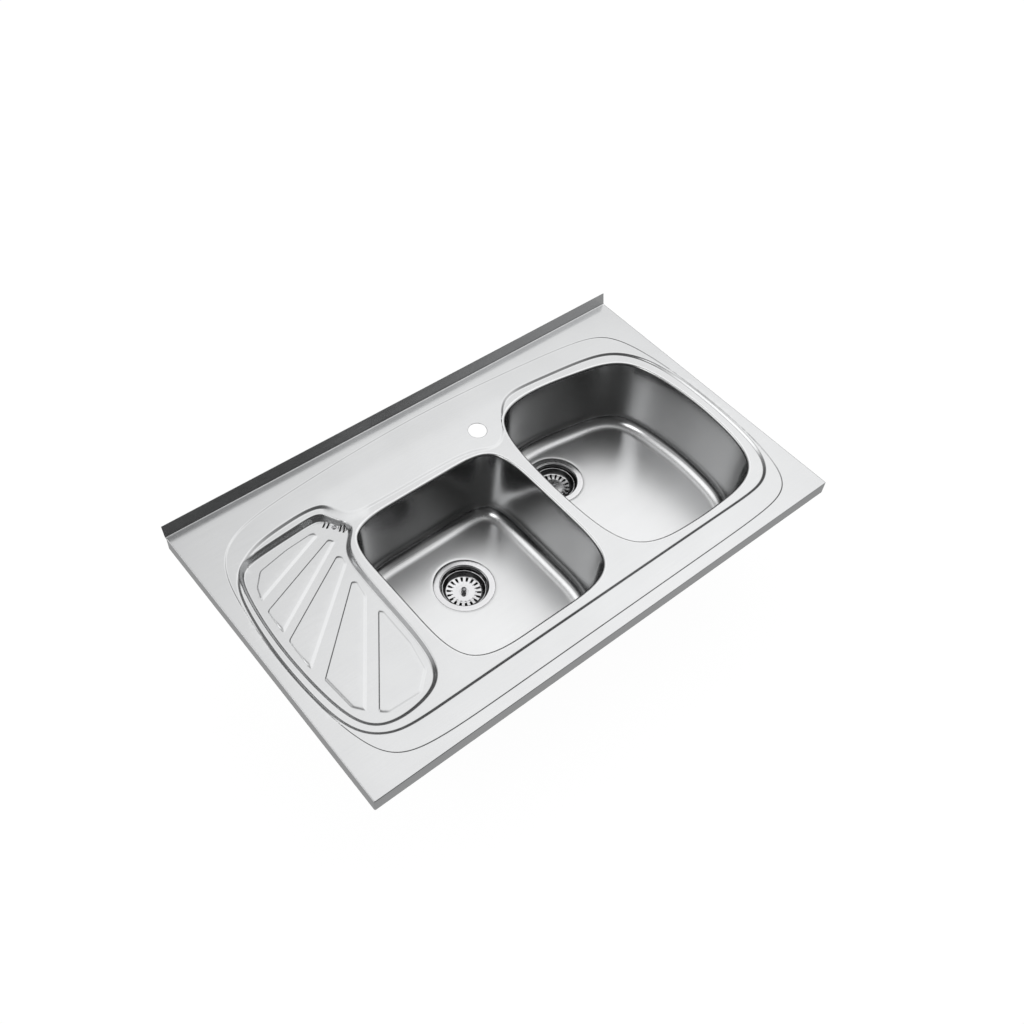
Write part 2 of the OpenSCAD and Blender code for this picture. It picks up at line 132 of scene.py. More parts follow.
# The drainer floor falls towards its overflow corner, and raised panels fan out from there
OVERFLOW_AT = (-258, 160)
OVERFLOW_TURN = math.radians(-54)
FALL_X = 0.008
FALL_Y = 0.016
PANELS = [
    [(-438, 101), (-289, 161), (-292, 173), (-350, 168), (-408, 156), (-430, 130)],
    [(-444, 27), (-272, 133), (-279, 145), (-441, 80)],
    [(-447, -57), (-284, 82), (-281, 99), (-288, 107), (-445, 11)],
    [(-436, -150), (-421, -169), (-296, 8), (-291, 42), (-299, 48), (-441, -84)],
    [(-408, -182), (-396, -192), (-335, -194), (-303, -165), (-292, -110), (-291, -33), (-298, -26)],
]
PANEL_RISE = 1.2
PANEL_CORNER = 4.0
PANEL_STEEP = 1.6
PANEL_SOFT = 6.0
PANEL_STEEP_SIDE = (-0.64, 0.77)
SLOTS_AT = (-18.5, -11.5, 11.5, 18.5)
SLOT_LEN = 12.0
SLOT_W = 3.4
# The edges of the holes are rolled down by these radii, and the slots close up a little
TAP_ROLL = 0.8
SLOT_ROLL = 1.3
SLOT_CLOSES = 0.7

# The tap ledge leans down to the front from a soft bend along its back
LEDGE_BEND_Y = 222.0
LEDGE_FALL = 0.030
LEDGE_LEFT = -262.0
LEDGE_RIGHT = 172.0


# ---------------------------------------------------------------- curves

def spline(points, steps=24):
    """Closed cubic B-spline through a control polygon, as an array of points."""
    p = np.array(points, float)
    t = (np.arange(steps) / steps)[:, None]
    rows = []
    for i in range(len(p)):
        a, b, c, d = p[i - 1], p[i], p[(i + 1) % len(p)], p[(i + 2) % len(p)]
        rows.append((
            (1 - t) ** 3 * a + (3 * t ** 3 - 6 * t ** 2 + 4) * b
            + (-3 * t ** 3 + 3 * t ** 2 + 3 * t + 1) * c + t ** 3 * d
        ) / 6)
    return np.vstack(rows)


def even(curve, gap):
    """The same closed curve with its points a constant distance apart."""
    closed = np.vstack([curve, curve[:1]])
    along = np.concatenate([[0], np.cumsum(np.linalg.norm(np.diff(closed, axis=0), axis=1))])
    count = round(along[-1] / gap)
    at = np.arange(count) * along[-1] / count
    return np.stack([np.interp(at, along, closed[:, k]) for k in (0, 1)], 1)


def shifted(curve, distance):
    """The curve moved outwards by a distance, or inwards where it is negative."""
    along = np.roll(curve, -1, 0) - np.roll(curve, 1, 0)
    out = np.stack([along[:, 1], -along[:, 0]], 1)
    return curve + distance * out / np.linalg.norm(out, axis=1)[:, None]


def circle(centre, radius, count):
    """Points of a circle, anticlockwise from its right end."""
    turn = np.arange(count) * 2 * math.pi / count
    return np.array(centre) + radius * np.stack([np.cos(turn), np.sin(turn)], 1)


def capsule(start, end, half_width, count=8):
    """Closed outline of a bar with round ends."""
    a, b = np.array(start, float), np.array(end, float)
    heading = math.atan2(*(b - a)[::-1])
    turn = np.linspace(-math.pi / 2, math.pi / 2, count + 1)
    far = b + half_width * np.stack([np.cos(heading + turn), np.sin(heading + turn)], 1)
    near = a - half_width * np.stack([np.cos(heading + turn), np.sin(heading + turn)], 1)
    return np.vstack([far, near])


def inside(points, loop):
    """Which of the points lie inside a closed loop."""
    x, y = points[:, 0], points[:, 1]
    hit = np.zeros(len(points), bool)
    for (x0, y0), (x1, y1) in zip(loop, np.roll(loop, -1, 0)):
        crosses = (y0 > y) != (y1 > y)
        if crosses.any() and y1 != y0:
            hit ^= crosses & (x < x0 + (y - y0) * (x1 - x0) / (y1 - y0))
    return hit


def rounded(corners, radius):
    """A polygon with each corner turned into a short curve, as an array of points."""
    p = np.array(corners, float)
    t = np.linspace(0, 1, 5)[:, None]
    rows = []
    for before, at, after in zip(np.roll(p, 1, 0), p, np.roll(p, -1, 0)):
        start, end = [
            at + way * min(radius / np.linalg.norm(way), 0.4) for way in (before - at, after - at)
        ]
        rows.append((1 - t) ** 2 * start + 2 * t * (1 - t) * at + t ** 2 * end)
    return np.vstack(rows)


def smooth(t):
    """Eases from 0 to 1 as t goes from 0 to 1."""
    t = np.clip(t, 0, 1)
    return t * t * (3 - 2 * t)


BEAD_CURVE = even(spline(BEAD), 5)
BASIN_CURVE = even(spline(BASIN), 4)
DRAINER_CURVE = even(spline(DRAINER), 4)


# ---------------------------------------------------------------- heights of the deck

def depth_inside(points, loop):
    """Distance from each point to a closed curve, positive inside it."""
    start, along = loop, np.roll(loop, -1, 0) - loop
    length2 = (along ** 2).sum(1)
    best = np.empty(len(points))
    for k in range(0, len(points), 2000):
        away = points[k:k + 2000, None] - start
        share = np.clip((away * along).sum(2) / length2, 0, 1)
        gap = away - share[:, :, None] * along
        best[k:k + 2000] = np.sqrt((gap ** 2).sum(2).min(1))
    return np.where(inside(points, loop), best, -best)


def ledge_level(p):
    """Height between the bead and the basin, with the lean of the tap ledge."""
    soft = 7.0
    fall = LEDGE_BEND_Y - p[:, 1]
    bent = np.clip(fall + soft, 0, 2 * soft) ** 2 / (4 * soft) + np.clip(fall - soft, 0, None)
    sides = smooth((p[:, 0] - LEDGE_LEFT) / 25) * smooth((LEDGE_RIGHT - p[:, 0]) / 25)
    front = smooth((p[:, 1] - 40) / 60)
    return BEAD_Z - LEDGE_FALL * bent * sides * front


def drainer_floor(p):
    """Height of the channels between the panels, falling to the overflow corner."""
    fall = FALL_X * (p[:, 0] - OVERFLOW_AT[0]) + FALL_Y * (p[:, 1] - OVERFLOW_AT[1])
    return BASIN_Z - DRAINER_DEPTH - fall


def panel_rise(p, corners):
    """Height of one raised panel: steep towards the upper left, soft on its other sides."""
    loop = rounded(corners, PANEL_CORNER)
    share = np.ones(len(p))
    for a, b in zip(loop, np.roll(loop, -1, 0)):
        along = (b - a) / np.linalg.norm(b - a)
        out = np.array([along[1], -along[0]])
        run = PANEL_STEEP if out @ PANEL_STEEP_SIDE > 0.6 else PANEL_SOFT
        share = np.minimum(share, smooth((a - p) @ out / run))
    return PANEL_RISE * share


def deck_height(p):
    """Height of the seen side of the deck, over every pressed step."""
    into_bead = smooth(depth_inside(p, BEAD_CURVE) / BEAD_RUN)
    z = RIM_Z + (ledge_level(p) - RIM_Z) * into_bead
    near_tip = smooth(1 - np.linalg.norm(p - BASIN_SOFT_AT, axis=1) / BASIN_SOFT_R)
    into_basin = smooth(depth_inside(p, BASIN_CURVE) / (BASIN_RUN + BASIN_SOFT_RUN * near_tip))
    z = z + (BASIN_Z - z) * into_basin
    into_drainer = smooth(depth_inside(p, DRAINER_CURVE) / DRAINER_RUN)
    floor = drainer_floor(p) + sum(panel_rise(p, corners) for corners in PANELS)
    return z + (floor - z) * into_drainer


# ---------------------------------------------------------------- mesh building

class Skin:
    """Points and faces of one piece. Faces look towards the seen side of the sheet."""

    def __init__(self):
        self.points = []
        self.faces = []

    def ring(self, flat, z):
        """Adds a row of points at a height, or at one height per point, and returns their numbers."""
        start = len(self.points)
        heights = np.broadcast_to(z, len(flat))
        self.points += [(x, y, h) for (x, y), h in zip(flat, heights)]
        return list(range(start, len(self.points)))

    def bridge(self, a, b, closed=True):
        """Joins two rows. For anticlockwise rings, the first is the outer one."""
        for i in range(len(a) if closed else len(a) - 1):
            j = (i + 1) % len(a)
            self.faces.append((a[i], a[j], b[j], b[i]))

    def band(self, rows, closed=True):
        """Joins each row to the next one, and returns the first and the last."""
        for a, b in zip(rows, rows[1:]):
            self.bridge(a, b, closed)
        return rows[0], rows[-1]

    def surface(self, outer, holes, inner, height):
        """Fills a region between loops with triangles through inner points, on a height function."""
        loops = [outer, *holes]
        flat = [np.array([self.points[i][:2] for i in loop]) for loop in loops]
        numbers = [i for loop in loops for i in loop] + self.ring(inner, height(inner))
        edges = []
        start = 0
        for loop in loops:
            n = len(loop)
            edges += [(start + k, start + (k + 1) % n) for k in range(n)]
            start += n
        vectors = [Vector(self.points[i][:2]) for i in numbers]
        points, _, faces, origin, _, _ = delaunay_2d_cdt(vectors, edges, [], 0, 1e-6)
        corners = np.array(points)
        centres = corners[np.array(faces)].mean(1)
        keep = inside(centres, flat[0])
        for loop in flat[1:]:
            keep &= ~inside(centres, loop)
        self.faces += [
            tuple(numbers[origin[k][0]] for k in face) for face, kept in zip(faces, keep) if kept
        ]

    def piece(self, name, material, body, thickness=None):
        """Makes the Blender object, thickens its sheet and lets it ride on a body."""
        mesh = bpy.data.meshes.new(name)
        mesh.from_pydata([tuple(c * MM for c in p) for p in self.points], [], self.faces)
        made = bpy.data.objects.new(name, mesh)
        bpy.context.scene.collection.objects.link(made)
        if thickness:
            solid = made.modifiers.new("sheet", "SOLIDIFY")
            solid.thickness = thickness * MM
            solid.offset = -1
            solid.use_even_offset = True
            solid.thickness_clamp = 0
            graph = bpy.context.evaluated_depsgraph_get()
            made.data = bpy.data.meshes.new_from_object(made.evaluated_get(graph))
            made.modifiers.clear()
            hold_under(made.data, len(self.points), UNDER_REACH * thickness * MM)
        made.data.shade_smooth()
        made.data.set_sharp_from_angle(angle=math.radians(38))
        made.data.materials.append(material)
        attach(made, body)
        return made


def hold_under(mesh, count, limit):
    """Keeps each point under the sheet near its own top point: thickening throws some far out in
    tight bends. The top points are the first of the mesh, and the others follow in their order."""
    for top, under in zip(mesh.vertices[:count], mesh.vertices[count:]):
        step = under.co - top.co
        if step.length > limit:
            under.co = top.co + step * (limit / step.length)


def lathe(profile, centre, base, count=128):
    """Skin of revolution through (radius, height) pairs, listed from the middle of the top outwards
    and down."""
    skin = Skin()
    rows = [skin.ring(circle(centre, max(r, 0.02), count), base + z) for r, z in profile]
    for inner, outer in zip(rows, rows[1:]):
        skin.bridge(outer, inner)
    return skin


def arc(centre, radius, start, end, count):
    """Points of an arc in the profile plane, with angles in degrees."""
    turns = np.radians(np.linspace(start, end, count))
    return [(centre[0] + radius * math.cos(a), centre[1] + radius * math.sin(a)) for a in turns]


# ---------------------------------------------------------------- materials

class Nodes:
    """Small helper that adds and joins shader nodes."""

    def __init__(self, name):
        self.material = bpy.data.materials.new(name)
        self.material.use_nodes = True
        self.tree = self.material.node_tree
        self.shader = self.tree.nodes["Principled BSDF"]
        coordinates = self.add("ShaderNodeTexCoord")
        self.place = coordinates.outputs["Object"]
        self.upward = coordinates.outputs["Normal"]

    def add(self, kind, **values):
        node = self.tree.nodes.new(kind)
        for key, value in values.items():
            setattr(node, key, value)
        return node

    def join(self, a, b):
        self.tree.links.new(a, b)

    def noise(self, stretch, detail=3.0, rough=0.5):
        """Noise in the object's frame. Stretch is the number of waves per metre along X, Y and Z."""
        mapping = self.add("ShaderNodeMapping")
        mapping.inputs["Scale"].default_value = stretch
        self.join(self.place, mapping.inputs["Vector"])
        node = self.add("ShaderNodeTexNoise")
        node.inputs["Scale"].default_value = 1.0
        node.inputs["Detail"].default_value = detail
        node.inputs["Roughness"].default_value = rough
        self.join(mapping.outputs["Vector"], node.inputs["Vector"])
        return node.outputs["Fac"]

    def ranged(self, value, low, high, from_low=0.3, from_high=0.7):
        node = self.add("ShaderNodeMapRange")
        node.inputs["From Min"].default_value = from_low
        node.inputs["From Max"].default_value = from_high
        node.inputs["To Min"].default_value = low
        node.inputs["To Max"].default_value = high
        self.join(value, node.inputs["Value"])
        return node.outputs["Result"]

    def tint(self, value, dark, light):
        """Colour between two colours, by a value."""
        ramp = self.add("ShaderNodeValToRGB")
        ramp.color_ramp.elements[0].position = 0.3
        ramp.color_ramp.elements[1].position = 0.7
        ramp.color_ramp.elements[0].color = (*dark, 1)
        ramp.color_ramp.elements[1].color = (*light, 1)
        self.join(value, ramp.inputs["Fac"])
        return ramp.outputs["Color"]

    def bump(self, value, depth, before=None):
        """Relief of a given depth in metres."""
        node = self.add("ShaderNodeBump")
        node.inputs["Strength"].default_value = 1.0
        node.inputs["Distance"].default_value = depth
        self.join(value, node.inputs["Height"])
        if before is not None:
            self.join(before, node.inputs["Normal"])
        return node.outputs["Normal"]


def steel(name, dark, light, rough, brush, grain=8e-7, wave=6e-5, waves=5.0,
          level_rough=0, steep_painted_shade=1.0):
    """Satin stainless steel: a brushed grain along one direction, and slow waves in the sheet.
    Level faces can be rougher than steep ones, as deep drawing leaves them. Steep faces get a darker
    base colour by their upward normal, which is painted shade."""
    n = Nodes(name)
    lines = n.noise(brush, detail=4.0, rough=0.6)
    cloud = n.noise((9, 9, 9), detail=2.0)
    slow = n.noise((waves, waves, waves), detail=1.0)
    up = n.add("ShaderNodeSeparateXYZ")
    n.join(n.upward, up.inputs["Vector"])
    # Steep faces get a darker base colour by their upward normal: painted shade.
    shade = n.add("ShaderNodeVectorMath", operation="SCALE")
    n.join(n.tint(cloud, dark, light), shade.inputs["Vector"])
    n.join(n.ranged(up.outputs["Z"], steep_painted_shade, 1.0, 0.5, 0.97), shade.inputs["Scale"])
    n.join(shade.outputs["Vector"], n.shader.inputs["Base Color"])
    mixed = n.add("ShaderNodeMath", operation="ADD")
    n.join(n.ranged(lines, -0.04, 0.04), mixed.inputs[0])
    n.join(n.ranged(cloud, rough - 0.025, rough + 0.025), mixed.inputs[1])
    whole = n.add("ShaderNodeMath", operation="ADD")
    n.join(mixed.outputs[0], whole.inputs[0])
    n.join(n.ranged(up.outputs["Z"], 0, level_rough, 0.75, 1.0), whole.inputs[1])
    n.join(whole.outputs[0], n.shader.inputs["Roughness"])
    relief = n.bump(slow, wave)
    n.join(n.bump(lines, grain, relief), n.shader.inputs["Normal"])
    n.shader.inputs["Metallic"].default_value = 1.0
    return n.material


def plastic(name, dark, light, rough, grain):
    """Moulded plastic or rubber with a fine eroded surface."""
    n = Nodes(name)
    cloud = n.noise((14, 14, 14), detail=3.0)
    fine = n.noise((900, 900, 900), detail=2.0)
    n.join(n.tint(cloud, dark, light), n.shader.inputs["Base Color"])
    n.join(n.ranged(fine, rough - 0.06, rough + 0.06), n.shader.inputs["Roughness"])
    n.join(n.bump(fine, grain), n.shader.inputs["Normal"])
    return n.material


def galvanised(name):
    """Zinc plate with its spangle."""
    n = Nodes(name)
    cells = n.add("ShaderNodeTexVoronoi")
    cells.inputs["Scale"].default_value = 120
    n.join(n.place, cells.inputs["Vector"])
    grey = n.add("ShaderNodeSeparateColor")
    n.join(cells.outputs["Color"], grey.inputs["Color"])
    shade = grey.outputs["Red"]
    n.join(n.tint(shade, (0.46, 0.48, 0.50), (0.62, 0.64, 0.66)), n.shader.inputs["Base Color"])
    n.join(n.ranged(shade, 0.32, 0.5, 0, 1), n.shader.inputs["Roughness"])
    n.join(n.bump(n.noise((60, 60, 60)), 4e-5), n.shader.inputs["Normal"])
    n.shader.inputs["Metallic"].default_value = 1.0
    return n.material


MATERIALS = {
    "deck_steel": steel(
        "deck_steel", (0.66, 0.665, 0.67), (0.71, 0.715, 0.72), 0.21, (8, 1400, 1400)
    ),
    # The bowl's steep walls get a darker base colour than its floor: painted shade.
    "bowl_steel": steel(
        "bowl_steel", (0.80, 0.805, 0.81), (0.87, 0.875, 0.88), 0.18, (8, 1400, 1400),
        level_rough=0.15, steep_painted_shade=0.40
    ),
    # The strainer's steep faces, such as the basket cone and cup wall, get a darker base colour:
    # painted shade.
    "strainer_steel": steel(
        "strainer_steel", (0.66, 0.66, 0.67), (0.74, 0.74, 0.75), 0.16, (300, 300, 1500),
        wave=1e-5, waves=40, steep_painted_shade=0.3
    ),
    "knob_steel": steel(
        "knob_steel", (0.22, 0.22, 0.23), (0.32, 0.32, 0.33), 0.25, (200, 200, 3000), wave=0, waves=40
    ),
    "screw_steel": steel(
        "screw_steel", (0.36, 0.36, 0.37), (0.46, 0.46, 0.47), 0.26, (200, 200, 3000), wave=0, waves=40
    ),
    "galvanised_steel": galvanised("galvanised_steel"),
    "black_rubber": plastic(
        "black_rubber", (0.018, 0.018, 0.018), (0.035, 0.035, 0.035), 0.62, 2e-5
    ),
    "damping_pad": plastic(
        "damping_pad", (0.03, 0.03, 0.032), (0.06, 0.06, 0.062), 0.85, 1.2e-4
    ),
    "waste_plastic": plastic(
        "waste_plastic", (0.66, 0.66, 0.64), (0.76, 0.76, 0.74), 0.42, 1e-5
    ),
    "brass": steel(
        "brass", (0.62, 0.44, 0.16), (0.76, 0.57, 0.25), 0.24, (300, 300, 2500), wave=0, waves=40
    ),
}


# ---------------------------------------------------------------- the deck

def skirt_row(inset):
    """Left, front and right sides of the deck, seen from above, at an inset from the skirts."""
    radius = max(CORNER_R - inset, 0.1)
    back = HALF_D - 2 - MARGIN * 2
    front = -HALF_D + max(CORNER_R, inset)
    side = HALF_W - inset
    across = HALF_W - max(CORNER_R, inset)
    left = [(-side, y) for y in np.linspace(back, front, 40)]
    right = [(side, y) for y in np.linspace(front, back, 40)]
    middle = [(x, -HALF_D + inset) for x in np.linspace(-across, across, 60)]
    corner = np.radians(np.linspace(180, 270, 7))[1:-1]
    one = [(-across + radius * math.cos(a), front + radius * math.sin(a)) for a in corner]
    other = [(-x, y) for x, y in reversed(one)]
    parts = {"left": left, "front": middle, "right": right}
    return left + one + middle + other + right, parts


def add_skirts(skin):
    """Fold, skirt and the bend at its foot. Returns the inner row of the flat margin."""
    profile = [(FOLD_R + MARGIN, RIM_Z), (FOLD_R, RIM_Z)]
    profile += [(FOLD_R - r, RIM_Z - FOLD_R + z) for r, z in arc((0, 0), FOLD_R, 90, 0, 5)[1:]]
    profile += [(0, 20), (0, 12), (0, 4), (0, 1.4)]
    profile += [(0.35, 0.45), (1.4, 0)]
    rows = [skin.ring(skirt_row(inset)[0], z) for inset, z in profile]
    for a, b in zip(rows, rows[1:]):
        skin.bridge(b, a, closed=False)
    hem_parts = skirt_row(HEM)[1]
    foot_parts = skirt_row(profile[-1][0])[1]
    for side in hem_parts:
        foot = skin.ring(foot_parts[side], 0)
        inner = skin.ring(hem_parts[side], 0)
        skin.bridge(inner, foot, closed=False)
    return rows[0]


def add_upstand(skin, left_end, right_end):
    """Bend at the back and the leaning upstand. Returns the inner points of its front row."""
    start_y = skin.points[left_end][1]
    radius = 2.0
    lean = math.degrees(math.atan2(UPSTAND_LEAN, UPSTAND_TOP - RIM_Z))
    bend = arc((HALF_D - radius, RIM_Z + radius), radius, -90, -lean, 6)
    top_y = HALF_D + UPSTAND_LEAN
    profile = [(start_y, RIM_Z), *bend]
    foot_y, foot_z = bend[-1]
    for t in (0.15, 0.4, 0.7, 0.96, 1.0):
        profile.append((foot_y + (top_y - foot_y) * t, foot_z + (UPSTAND_TOP - foot_z) * t))
    ends = skin.points[right_end][0]
    columns = [-HALF_W, *np.linspace(-ends, ends, 60), HALF_W]
    rows = []
    for k, (y, z) in enumerate(profile):
        row = skin.ring([(x, y) for x in columns], z)
        if k == 0:
            row[1] = left_end
            row[-2] = right_end
        rows.append(row)
    for a, b in zip(rows, rows[1:]):
        skin.bridge(a, b, closed=False)
    return rows[0][1:-1]


def overflow_place(x, y):
    """A point given along and across the row of overflow slots, in the row frame."""
    c, s = math.cos(OVERFLOW_TURN), math.sin(OVERFLOW_TURN)
    return (OVERFLOW_AT[0] + c * x - s * y, OVERFLOW_AT[1] + s * x + c * y)


def add_hole(skin, loop_at, roll):
    """Edge of a hole, rolled down a little. Takes a function from a growth to the hole's outline."""
    rows = []
    for turn in np.radians((0, 30, 60, 90)):
        loop = loop_at(roll * (1 - math.sin(turn)))
        rows.append(skin.ring(loop, deck_height(loop) - roll * (1 - math.cos(turn))))
    margin = loop_at(roll + MARGIN * 0.6)
    return skin.band([skin.ring(margin, deck_height(margin)), *rows])[0]


def step_rows(curve, run):
    """Points on the slope of a step and just beside it."""
    shares = (0, 0.1, 0.22, 0.36, 0.5, 0.64, 0.78, 0.9, 1)
    insets = [-MARGIN, *(run * t for t in shares), run + MARGIN]
    return np.vstack([shifted(curve, -inset) for inset in insets])


def deck_points():
    """Every point inside the deck's loops: those along the steps and round the panels, and those
    spread over the flats."""
    basin_rows = step_rows(BASIN_CURVE, BASIN_RUN)
    bead_rows = step_rows(BEAD_CURVE, BEAD_RUN)
    bead_rows = bead_rows[depth_inside(bead_rows, BASIN_CURVE) < -MARGIN - 0.4]
    rows = [basin_rows, bead_rows, step_rows(DRAINER_CURVE, DRAINER_RUN)]
    for corners in PANELS:
        edge = even(rounded(corners, PANEL_CORNER), 3.5)
        rows += [shifted(edge, -inset) for inset in (-0.8, 0, 0.3, 0.7, 1.1, 1.5, 2.2, 3.5, 5, 6.5)]
    fixed = np.vstack(rows)
    gap = 9.0
    border = 8.0
    across = np.arange(-HALF_W + border, HALF_W - border, gap)
    deep = np.arange(-HALF_D + border, HALF_D - border, gap)
    gx, gy = np.meshgrid(across, deep)
    gx = gx + gap / 2 * (np.arange(gx.shape[0]) % 2)[:, None]
    grid = np.stack([gx.ravel(), gy.ravel()], 1)
    return fixed, grid


def clear_of(points, others, gap):
    """The points that are further than a gap from all the others."""
    near = np.concatenate([
        np.linalg.norm(points[k:k + 500, None] - others[None], axis=2).min(1)
        for k in range(0, len(points), 500)
    ])
    return points[near > gap]


def build_deck():
    """The whole pressed top, with holes for the tap, the overflow slots and the two bowls."""
    skin = Skin()
    skirt_inner = add_skirts(skin)
    upstand_front = add_upstand(skin, skirt_inner[0], skirt_inner[-1])
    frame_loop = skirt_inner + upstand_front[-2:0:-1]
    holes = [add_hole(skin, lambda g: circle(TAP_AT, TAP_R + g, 64), TAP_ROLL)]
    for points in (LEFT_BOWL, RIGHT_BOWL):
        edge = shifted(even(spline(points), 5), BOWL_RIM_OUT + MARGIN)
        holes.append(skin.ring(edge, BASIN_Z))
    reach = (SLOT_LEN - SLOT_W) / 2
    slot_half = SLOT_W / 2 - SLOT_CLOSES
    for x in SLOTS_AT:
        ends = overflow_place(x, -reach), overflow_place(x, reach)
        holes.append(add_hole(skin, lambda g, ends=ends: capsule(*ends, slot_half + g), SLOT_ROLL))
    fixed, grid = deck_points()
    loops = np.array([skin.points[i][:2] for loop in [frame_loop, *holes] for i in loop])
    fixed = clear_of(fixed, loops, 0.7)
    grid = clear_of(grid, np.vstack([fixed, loops]), 4.0)
    for loop in holes:
        outline = np.array([skin.points[i][:2] for i in loop])
        grid = grid[~inside(grid, outline)]
        fixed = fixed[~inside(fixed, outline)]
    skin.surface(frame_loop, holes, np.vstack([fixed, grid]), deck_height)
    return skin


# ---------------------------------------------------------------- bowls

def build_bowl(points, drain):
    """Lip, rounded rim, wall, fillet, floor and the dished seat of the strainer."""
    skin = Skin()
    curve = even(spline(points), 5)
    rows = [skin.ring(shifted(curve, BOWL_RIM_OUT + MARGIN), BASIN_Z)]
    for a in np.radians(np.linspace(0, 87, 9)):
        inset = -BOWL_RIM_OUT + BOWL_RIM_R * math.sin(a)
        rows.append(skin.ring(shifted(curve, -inset), BASIN_Z - BOWL_RIM_R * (1 - math.cos(a))))
    rim_inset = BOWL_RIM_R - BOWL_RIM_OUT
    wall_top = BASIN_Z - BOWL_RIM_R
    bend = FLOOR_Z + BOWL_FILLET
    for t in (0.15, 0.32, 0.5, 0.68, 0.85):
        inset = rim_inset + (BOWL_DRAFT - rim_inset) * t
        rows.append(skin.ring(shifted(curve, -inset), wall_top + (bend - wall_top) * t))
    for a in np.radians(np.linspace(0, 90, 15)):
        inset = BOWL_DRAFT + BOWL_FILLET * (1 - math.cos(a))
        rows.append(skin.ring(shifted(curve, -inset), bend - BOWL_FILLET * math.sin(a)))
    floor_edge = shifted(curve, -BOWL_DRAFT - BOWL_FILLET - 0.6)
    rows.append(skin.ring(floor_edge, FLOOR_Z))
    skin.band(rows)

    dish = []
    for r, z in (
        (DISH_R, 0), (DISH_R - 1.2, -0.06), (DISH_R - 2.6, -0.22), (DISH_R - 3.8, -0.4),
        (FLANGE_R + 0.3, -0.52), (FLANGE_R + 0.2, -0.9), (FLANGE_R + 0.2, -DISH_DEPTH),
        (DRAIN_HOLE_R, -DISH_DEPTH),
    ):
        dish.append(skin.ring(circle(drain, r, 112), FLOOR_Z + z))
    skin.band(dish)
    low, high = floor_edge.min(0), floor_edge.max(0)
    gx, gy = np.meshgrid(np.arange(low[0], high[0], 14), np.arange(low[1], high[1], 14))
    grid = np.stack([gx.ravel(), gy.ravel()], 1)
    grid = grid[depth_inside(grid, floor_edge) > 7]
    grid = grid[np.linalg.norm(grid - drain, axis=1) > DISH_R + 7]
    skin.surface(rows[-1], [dish[0]], grid, lambda p: np.full(len(p), FLOOR_Z))
    return skin


# ---------------------------------------------------------------- strainers

def build_cup_lining(drain):
    """The seen face of the strainer cup: its flange, the rounded lip and the wall down to the seat."""
    profile = [(FLANGE_R, -2.6), (FLANGE_R, -1.0), (FLANGE_R - 0.3, -0.62), (FLANGE_R - 1, -0.5)]
    profile += [(52, -0.55), (48, -0.6)]
    profile += [(45 + x, -1.7 + z) for x, z in arc((1.2, 0), 1.1, 80, 178, 6)]
    profile += [(44.7, -4), (44.4, -8), (44.1, -16), (43.8, -26), (43.4, -33.5), (42.2, -34.7)]
    profile += [(38, -34.9), (30, -34.9), (24.2, -34.9)]
    return lathe(profile[::-1], drain, FLOOR_Z)


def build_basket(drain):
    """Pressed basket: rolled rim, cone, a ring of petals between radial slots, and a flat centre."""
    skin = Skin()
    slots = 18
    per_slot = 8
    slot_half = 1.5
    slot_in, slot_out = 20.6, 32.0
    roll = arc((40.0, -11.9), 1.5, -60, 165, 10)
    slope = [(38.2, -13.0), (37.2, -15.2), (35.8, -17.8), (34.6, -19.8), (33.6, -20.7)]
    floor = [
        (slot_out, -21.0), (slot_out - 0.7, -21.06), (28.0, -21.3), (24.6, -21.55),
        (slot_in + 0.7, -21.85), (slot_in, -21.9),
    ]
    centre = [(18.5, -22.0), (15, -22.0), (9, -22.0), (3.2, -22.0)]
    profile = [*roll, *slope, *floor, *centre]
    rows = []
    for r, z in profile:
        wide = slot_half + 1.2 * (min(r, slot_out) - slot_in) / (slot_out - slot_in)
        wide *= 0.6 if r in (slot_out, slot_in) else 1.0
        half = min(wide / r, math.pi / slots * 0.62)
        turns = []
        for k in range(slots):
            middle = 2 * math.pi * k / slots
            petal = np.linspace(half, 2 * math.pi / slots - half, per_slot - 1)
            turns += [*(middle + petal), middle + 2 * math.pi / slots]
        flat = np.array(drain) + r * np.stack([np.cos(turns), np.sin(turns)], 1)
        rows.append(skin.ring(flat, FLOOR_Z + z))
    first_slot_row = len(roll) + len(slope)
    last_slot_row = first_slot_row + len(floor) - 1
    for number, (outer, inner) in enumerate(zip(rows, rows[1:])):
        for i in range(len(outer)):
            j = (i + 1) % len(outer)
            beside_slot = i % per_slot >= per_slot - 2
            if beside_slot and first_slot_row <= number < last_slot_row:
                continue
            skin.faces.append((outer[i], outer[j], inner[j], inner[i]))
    return skin


def build_knob(drain):
    """Turned knob with a waist and a domed top."""
    profile = [(0, -11.7), (2.0, -11.75), (3.3, -12.1), *arc((3.6, -13.2), 1.1, 70, -60, 6)]
    profile += [(3.4, -14.6), (2.3, -15.8), (1.9, -17.2), (2.2, -18.6), (3.3, -19.4)]
    profile += [*arc((3.5, -20.4), 1.0, 60, -80, 6), (3.1, -21.7)]
    return lathe(profile, drain, FLOOR_Z, 48)


# ---------------------------------------------------------------- put the pieces in place

deck = build_deck().piece("deck_sheet", MATERIALS["deck_steel"], "root", SHEET)
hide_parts("sink_deck")

for side, points, drain in (("left", LEFT_BOWL, LEFT_DRAIN), ("right", RIGHT_BOWL, RIGHT_DRAIN)):
    bowl = build_bowl(points, drain).piece(side + "_bowl_shell", MATERIALS["bowl_steel"], "root", SHEET)
    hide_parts(side + "_bowl")
    lining = build_cup_lining(drain).piece(
        side + "_cup_lining", MATERIALS["strainer_steel"], "root"
    )
    basket = build_basket(drain).piece(
        side + "_basket_pressing", MATERIALS["strainer_steel"], side + "_strainer", 0.8
    )
    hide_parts(side + "_basket")
    knob = build_knob(drain).piece(side + "_knob_turned", MATERIALS["knob_steel"], side + "_stopper")
    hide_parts(side + "_knob")

